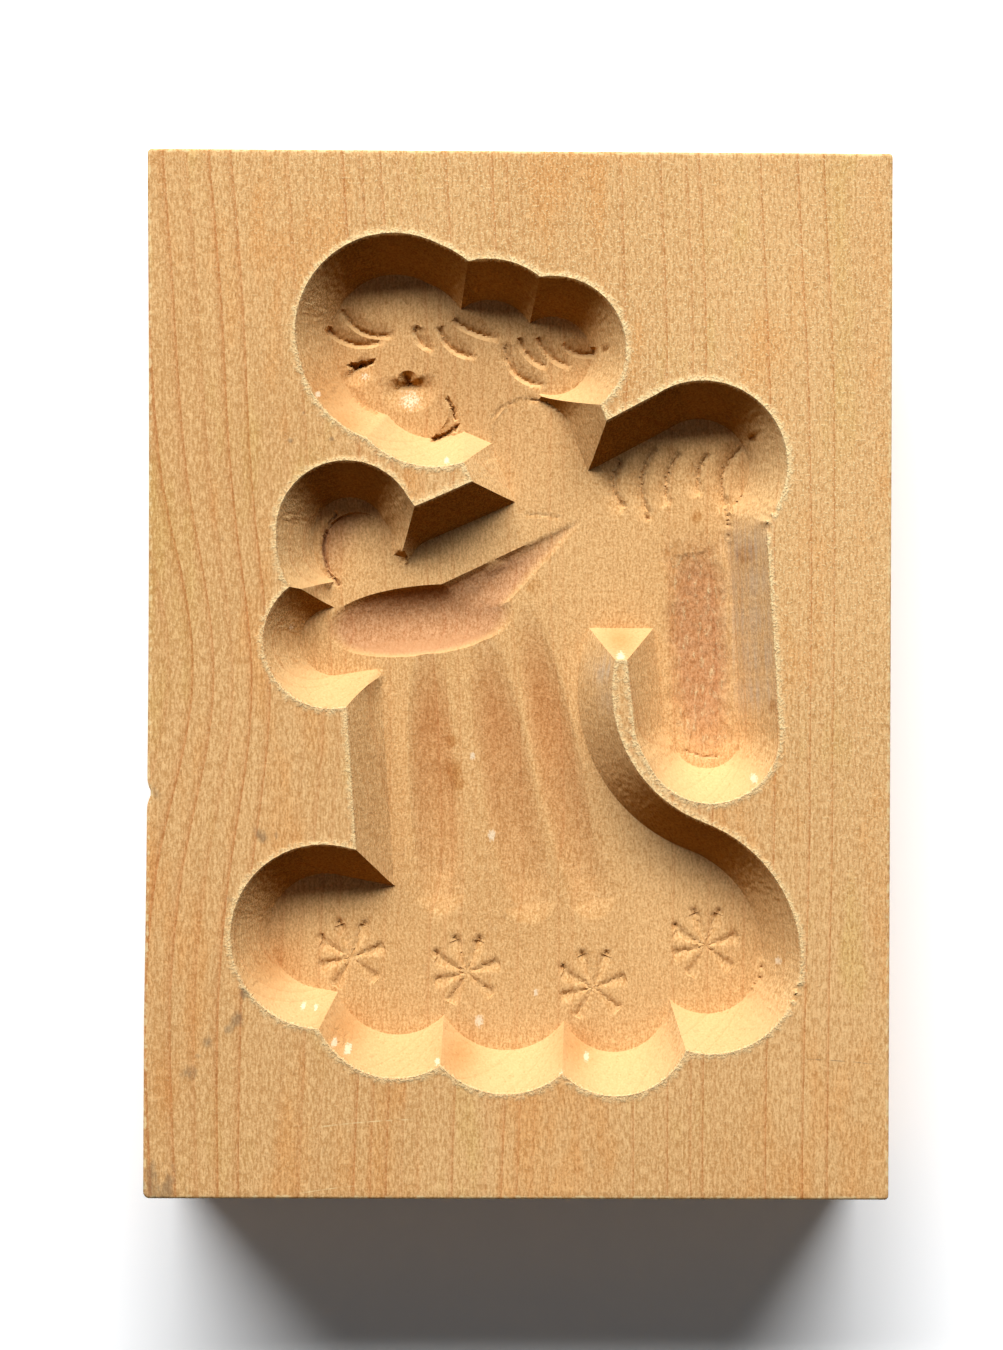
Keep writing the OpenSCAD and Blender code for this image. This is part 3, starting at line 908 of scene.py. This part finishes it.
def strokes(plan, arcs, side, settings):
    """Depth of gouge strokes, and where their creases lie, from 0 to 1.

    A stroke slants down to its arc from outside where side is 1, from inside where it is -1, and rises
    steeply beyond.
    """
    depth = np.zeros(len(plan))
    creases = np.zeros(len(plan))
    for first, second, last in arcs:
        middle, radius = circle_through(first, second, last)
        offset = plan / MM - middle
        away = np.hypot(*offset.T)
        towards = (np.array(first) + np.array(last)) / 2 - middle
        towards = towards / np.hypot(*towards)
        least = np.dot(np.array(first) - middle, towards) / radius
        ends = np.clip((offset @ towards / np.maximum(away, 0.1) - least) / (1 - least), 0, 1)
        beyond = (away - radius) * side * MM
        slanting = np.clip(1 - beyond / settings.slant, 0, 1) ** 1.7
        steep = np.clip(1 + beyond / settings.bevel, 0, 1)
        crease = np.clip(1 - np.abs(beyond) / settings.crease, 0, 1) * (ends > 0)
        sides = settings.stroke_depth * np.where(beyond > 0, slanting, steep) * np.sqrt(ends)
        depth = np.maximum(depth, sides + settings.crease_depth * crease * np.minimum(1, 3 * ends))
        creases = np.maximum(creases, crease * np.minimum(1, 3 * ends))
    return depth, creases


def trough_share(plan):
    """How far each point lies inside the torn trough of the wing, from 0 to 1."""
    x, y, lean, half_width, half_length = WING_TROUGH
    up = plan[:, 1] / MM - y
    stray = 0.35 * np.sin(0.9 * up) + 0.2 * np.sin(2.3 * up + 1.0) + 0.07 * np.sin(7.1 * up)
    across = (plan[:, 0] / MM - x + lean * up + stray) / half_width
    lower_end = np.hypot(across * half_width, np.minimum(up + half_length - half_width, 0)) / half_width
    upper_end = np.clip(up / half_length, 0, 1)
    return np.clip(2.5 * (1 - np.maximum(np.maximum(np.abs(across), lower_end), upper_end)), 0, 1)


def cleared(plan, heights):
    """Heights without the slivers that have broken off between two passes of the cutter."""
    x, y = plan.T / MM
    left = 1 - np.interp(x, RUN_OUT_ACROSS, (0, 1, 1, 0)) * np.interp(y, RUN_OUT_UP, (0, 1, 1, 0))
    for middle_x, middle_y, radius in CLEARED:
        left = np.minimum(left, np.clip(2 * np.hypot(x - middle_x, y - middle_y) / radius - 1, 0, 1))
    return np.where(heights > FLOOR, FLOOR + left * (heights - FLOOR), heights)


def small_cuts(plan, heights, settings):
    """Heights with the small cuts worn, slanted, chipped and torn as use and the gouge have left them."""
    heights = cleared(plan, heights)
    on_floor = heights < FLOOR + FLOOR_SLACK * MM
    for x, y, radius, left in WORN:
        inside = (np.hypot(plan[:, 0] / MM - x, plan[:, 1] / MM - y) < radius) & (heights < FLOOR)
        heights = np.where(inside, FLOOR + left * (heights - FLOOR), heights)
    rough = ragged(plan, settings)
    curls, _ = strokes(rough, CURLS, -1, settings)
    feathers, _ = strokes(rough, FEATHERS, 1, settings)
    depth = np.max((curls, feathers, half_dishes(rough), petals(rough, settings)), axis=0)
    heights = np.where(on_floor, np.minimum(heights, FLOOR - depth), heights)
    heights = heights - fold_ends(plan, settings) * on_floor
    in_figure = heights < FACE.z - MM
    chips = settings.chip_depth * mark_weight(rough, CHIPS + petal_chips())
    knife = [deep * MM * line_share(rough, places, width) for width, deep, places in KNIFE_LINES]
    torn = chips + np.max(knife, axis=0)
    return heights - torn * in_figure - settings.lip * trough_share(plan) * on_floor


def edge_profile(settings):
    """Steps from the top of the face down the side to the back: how far out, and height."""
    r = settings.edge_round
    arc_steps = 4
    side_steps = 6
    arc = np.linspace(0, math.pi / 2, arc_steps + 1)[1:]
    quarter = [(r * math.sin(a), r * (1 - math.cos(a))) for a in arc]
    side = [(r, down) for down in np.linspace(r, FACE.z - BACK.z - r, side_steps + 1)[1:-1]]
    lower = [(out, FACE.z - BACK.z - down) for out, down in reversed(quarter)]
    return [(out, FACE.z - down) for out, down in quarter + side + lower + [(0.0, FACE.z - BACK.z)]]


def out_of_true(points, settings):
    """Moves the block's points as hand planing, sawing and wear have moved its sides."""
    x, y = points[:, 0], points[:, 1]
    middle, half_length, start = (size * MM for size in HOLLOW)
    near_left = np.clip((-x - start) / (FACE.x - start), 0, 1)
    hollow = np.clip(1 - ((y - middle) / half_length) ** 2, 0, 1)
    nick_y, half_height, reach, down = (size * MM for size in NICK)
    nick = np.exp(-((y - nick_y) / half_height) ** 2) * np.clip((-x - FACE.x + reach) / reach, 0, 1)
    near_face = np.exp(-np.maximum(FACE.z - points[:, 2], 0) / down)
    points[:, 0] = x + settings.side_hollow * hollow * near_left + settings.nick * nick * near_face
    points[:, 1] = y * (1 - settings.end_skew / (2 * FACE.y) * (x + FACE.x) / (2 * FACE.x))


def add_sides(corners, faces, edge_points, settings):
    """Adds the worn edges, the sides and the back below the edge of the carved side."""
    count = len(edge_points)
    top = tree_of(corners)
    previous = [top.find((p.x, p.y, 0.0))[1] for p, _ in edge_points]
    for out, height in edge_profile(settings):
        current = list(range(len(corners), len(corners) + count))
        corners.extend((p.x + n.x * out, p.y + n.y * out, height) for p, n in edge_points)
        for i in range(count):
            j = (i + 1) % count
            faces.append((previous[i], current[i], current[j], previous[j]))
        previous = current
    faces.append(tuple(reversed(previous)))


def cut_shade_shares(plan, settings):
    """How dark the painted shade is in the chips, the knife lines and the creases of the gouge strokes, from
    0 to 1.
    """
    rough = ragged(plan, settings)
    knife = [2 * deep * line_share(rough, places, 1.2 * width) for width, deep, places in KNIFE_LINES]
    curls = strokes(rough, CURLS, -1, settings)[1]
    feathers = strokes(rough, FEATHERS, 1, settings)[1]
    petal_ends = PETAL_CHIP_DARK * mark_weight(rough, petal_chips())
    creases = CREASE_DARK * np.maximum(curls, feathers)
    return np.max((mark_weight(rough, CHIPS), petal_ends, creases, *knife), axis=0)


def wood_shares(points, carved, rim, settings):
    """How far each point lies in each kind of surface and mark, painted shade and highlight among them, from
    0 to 1, by name.
    """
    plan = points[:, :2]
    height = points[:, 2]
    across, up = plan.T / MM
    inside = np.min(np.array((FACE.x, FACE.y)) - np.abs(plan), axis=1)
    # The worn outer edges: frayed fibres, with a painted highlight
    edge_fray_and_highlight = (inside < 1.01 * settings.edge_round) * (height > FACE.z - 0.8 * settings.edge_round)
    flowers = np.max([np.hypot(across - x, up - y) < FLOWER_RADIUS for x, y in FLOWERS], axis=0)
    # Painted shade, darker the deeper a cut lies below the floor, and in the folds darker towards their tops
    below = np.clip((FLOOR - height) / (DEEP * MM), 0, 1) * carved * (up < HEAD_LOW) * (1 - flowers)
    sleeve = np.interp(across, *np.transpose(SLEEVE_EDGE))
    in_gown = np.clip((sleeve + SLEEVE_FADE - up) / SLEEVE_FADE, 0, 1) * (across < WING_LEFT)
    fold_shade = np.interp(up, (FOLD_LOW, FOLD_DARK), (0.25, 1)) * in_gown
    # Flour in the cuts, and painted highlight in the half dishes
    flour_and_highlight = np.maximum(mark_weight(points, FLOUR, 1.5), 0.7 * mark_weight(points, DISH_HIGHLIGHT))
    return {
        "cut": carved,
        "rim": rim,
        "edge": edge_fray_and_highlight,
        "torn": trough_share(plan) * (height < FLOOR + 0.2 * MM) * carved,
        "deep": below * (1 - in_gown),
        "fold": below * fold_shade,
        "head_shade": mark_weight(points, HEAD_SHADE) * carved,
        "brown": mark_weight(points, BROWN) * carved,
        "rosy": mark_weight(points, ROSY) * carved,
        "cut_shade": cut_shade_shares(plan, settings) * carved,
        "bloom": mark_weight(points, BLOOM) * carved,
        "flour_and_highlight": flour_and_highlight * carved,
        "stain": mark_weight(points, STAINS) * (1 - carved) * (height > FACE.z - 4 * MM),
    }


def block_mesh(settings):
    """The whole block: the carved side, the worn edges, the sides and the back."""
    solid = merged_solid()
    plan, faces, heights, rim, edge_points = plan_mesh(settings, solid)
    solid.free()
    heights = small_cuts(plan, heights, settings)
    corners = np.column_stack((plan, heights)).tolist()
    add_sides(corners, faces, edge_points, settings)
    points = np.array(corners)
    added = (0, len(points) - len(plan))
    carved = np.pad(np.clip((FACE.z - heights) / (0.15 * MM), 0, 1), added)
    near_rim = np.pad(np.clip(1 - rim / settings.rim_band, 0, 1), added)
    shares = wood_shares(points, carved, near_rim, settings)
    out_of_true(points, settings)
    mesh = bpy.data.meshes.new("carved_block")
    mesh.from_pydata(points.tolist(), [], faces)
    for name, values in shares.items():
        layer = mesh.attributes.new(name, "FLOAT", "POINT")
        layer.data.foreach_set("value", values.astype(np.float32))
    mesh.validate()
    return mesh


def tool_marks():
    """Nodes that ripple the cut surfaces, tear the grain in the wing and raise a burr along the rim."""
    tree = bpy.data.node_groups.new("tool_marks", "GeometryNodeTree")
    tree.is_modifier = True
    kinds = {"Geometry": "NodeSocketGeometry", "Wood": "NodeSocketMaterial"}
    kinds.update({name: "NodeSocketFloat" for name in ("Ripple", "Torn", "Burr", "Wander", "Seed")})
    sockets = {
        name: tree.interface.new_socket(name, in_out="INPUT", socket_type=kind)
        for name, kind in kinds.items()
    }
    tree.interface.new_socket("Geometry", in_out="OUTPUT", socket_type="NodeSocketGeometry")
    graph = Graph(tree)
    given = tree.nodes.new("NodeGroupInput").outputs
    place = graph.scaled(graph.node("GeometryNodeInputPosition"), 1 / MM)
    normal = graph.node("GeometryNodeInputNormal")
    cut, near_rim, torn = (
        graph.node("GeometryNodeInputNamedAttribute", name, data_type="FLOAT")
        for name in ("cut", "rim", "torn")
    )
    rim = graph.math("POWER", near_rim, 4.0)
    away = graph.math("SUBTRACT", 1.0, rim)
    ripple = graph.add(graph.noise(place, (0.8, 0.35, 0.8), given["Seed"], 3.0), -0.5)
    tear = graph.add(graph.noise(place, (2.4, 1.1, 2.4), given["Seed"], 3.0, 0.6), -0.5)
    lift = graph.add(
        graph.times(ripple, given["Ripple"], cut, away, 2.0), graph.times(tear, given["Torn"], torn, 2.0)
    )
    tuft = graph.ramp(graph.noise(place, (2.6, 2.6, 2.6), given["Seed"], 2.0), 0.4, 0.7)
    upwards = graph.node("ShaderNodeCombineXYZ", 0.0, 0.0, graph.times(tuft, rim, given["Burr"]))
    strays = graph.noise(place, (1.6, 1.6, 1.6), given["Seed"], 3.0, 0.6, 1)
    stray = graph.vector("SUBTRACT", strays, (0.5, 0.5, 0.5))
    flat = graph.vector("MULTIPLY", stray, (2.0, 2.0, 0.0))
    aside = graph.scaled(flat, graph.times(rim, given["Wander"]))
    offset = graph.vector("ADD", graph.scaled(normal, lift), graph.vector("ADD", upwards, aside))
    moved = graph.node("GeometryNodeSetPosition", given["Geometry"], None, None, offset)
    smooth = graph.node("GeometryNodeSetShadeSmooth", moved)
    plain = graph.node("GeometryNodeRealizeInstances", smooth)
    finished = graph.node("GeometryNodeSetMaterial", plain, None, given["Wood"])
    graph.put(tree.nodes.new("NodeGroupOutput").inputs[0], finished)
    return tree, sockets


def with_tool_marks(piece, settings, wood):
    """Runs the tool marks over a piece and keeps the result as its plain mesh."""
    tree, sockets = tool_marks()
    modifier = piece.modifiers.new("tool_marks", "NODES")
    modifier.node_group = tree
    inputs = {
        "Ripple": settings.ripple,
        "Torn": settings.torn,
        "Burr": settings.burr,
        "Wander": settings.wander,
        "Seed": float(settings.seed),
        "Wood": wood,
    }
    for name, value in inputs.items():
        modifier[sockets[name].identifier] = value
    graph = bpy.context.evaluated_depsgraph_get()
    made = bpy.data.meshes.new_from_object(
        piece.evaluated_get(graph), preserve_all_data_layers=True, depsgraph=graph
    )
    piece.modifiers.clear()
    piece.data = made
    made.set_sharp_from_angle(angle=math.radians(32))


class MOULD_OT_block(bpy.types.Operator):
    """Mesh the carved block over its solid and give it its bare wood"""

    bl_idname = "mould.block"
    bl_label = "Carved block"

    def execute(self, context):
        settings = context.scene.mould_carving
        piece = bpy.data.objects.new("carved_block", block_mesh(settings))
        context.scene.collection.objects.link(piece)
        with_tool_marks(piece, settings, bare_wood(context.scene.mould_wood))
        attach(piece, "root")
        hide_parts(BLOCK)
        return {"FINISHED"}


class MOULD_OT_stage(bpy.types.Operator):
    """Lay the paper floor, hang the window light and set the camera over the block"""

    bl_idname = "mould.stage"
    bl_label = "Floor, light and camera"

    def execute(self, context):
        stage = context.scene.mould_stage
        self.lay_floor(context, stage)
        self.hang_lamp(context, stage)
        self.surround(context, stage)
        self.set_camera(context, stage)
        context.scene.view_settings.view_transform = "Standard"
        return {"FINISHED"}

    def lay_floor(self, context, stage):
        mesh = bpy.data.meshes.new("floor")
        disc = bmesh.new()
        bmesh.ops.create_circle(disc, cap_ends=True, segments=96, radius=stage.floor_size)
        disc.to_mesh(mesh)
        disc.free()
        mesh.materials.append(paper_floor(stage))
        floor = bpy.data.objects.new("floor", mesh)
        floor.location.z = BACK.z
        context.scene.collection.objects.link(floor)

    def hang_lamp(self, context, stage):
        lamp = bpy.data.lights.new("window", "AREA")
        lamp.shape = "RECTANGLE"
        lamp.size = stage.lamp_width
        lamp.size_y = stage.lamp_height
        lamp.energy = stage.lamp_power
        window = bpy.data.objects.new("window", lamp)
        flat = math.cos(stage.lamp_rise)
        towards = Vector((
            -math.sin(stage.lamp_turn) * flat, math.cos(stage.lamp_turn) * flat, math.sin(stage.lamp_rise)
        ))
        window.location = towards * stage.lamp_distance
        window.rotation_euler = towards.to_track_quat("Z", "Y").to_euler()
        window.visible_camera = False
        context.scene.collection.objects.link(window)

    def surround(self, context, stage):
        world = bpy.data.worlds.new("surroundings")
        world.use_nodes = True
        context.scene.world = world
        graph = Graph(world.node_tree)
        light = world.node_tree.nodes["Background"]
        light.inputs["Color"].default_value = (1.0, 1.0, 1.0, 1.0)
        graph.put(light.inputs["Strength"], graph.ramp(seen_ray(graph), 0.0, 1.0, stage.fill, 1.0))

    def set_camera(self, context, stage):
        lens = bpy.data.cameras.new("camera")
        lens.sensor_fit = "VERTICAL"
        lens.sensor_height = 36.0
        lens.lens = lens.sensor_height * stage.camera_height / stage.view_length
        lens.clip_start = 0.01
        camera = bpy.data.objects.new("camera", lens)
        camera.location = (stage.camera_x, 0.0, FACE.z + stage.camera_height)
        camera.rotation_euler = (0.0, 0.0, stage.camera_roll)
        context.scene.collection.objects.link(camera)
        context.scene.camera = camera


class MOULD_PT_panel(bpy.types.Panel):
    """Lists the mould's pieces and their settings"""

    bl_idname = "MOULD_PT_panel"
    bl_label = "Springerle mould"
    bl_space_type = "VIEW_3D"
    bl_region_type = "UI"
    bl_category = "Mould"

    def draw(self, context):
        scene = context.scene
        pieces = {
            "mould.block": (scene.mould_carving, scene.mould_wood),
            "mould.stage": (scene.mould_stage,),
        }
        for operator, groups in pieces.items():
            self.layout.operator(operator)
            for group in groups:
                for key in group.bl_rna.properties.keys():
                    if key not in ("rna_type", "name"):
                        self.layout.prop(group, key)


CLASSES = (CarvingSettings, WoodSettings, StageSettings, MOULD_OT_block, MOULD_OT_stage, MOULD_PT_panel)


def register():
    for kind in CLASSES:
        bpy.utils.register_class(kind)
    bpy.types.Scene.mould_carving = PointerProperty(type=CarvingSettings)
    bpy.types.Scene.mould_wood = PointerProperty(type=WoodSettings)
    bpy.types.Scene.mould_stage = PointerProperty(type=StageSettings)


def unregister():
    del bpy.types.Scene.mould_carving
    del bpy.types.Scene.mould_wood
    del bpy.types.Scene.mould_stage
    for kind in reversed(CLASSES):
        bpy.utils.unregister_class(kind)


def main():
    register()
    bpy.ops.mould.block()
    bpy.ops.mould.stage()


if __name__ == "__main__":
    main()
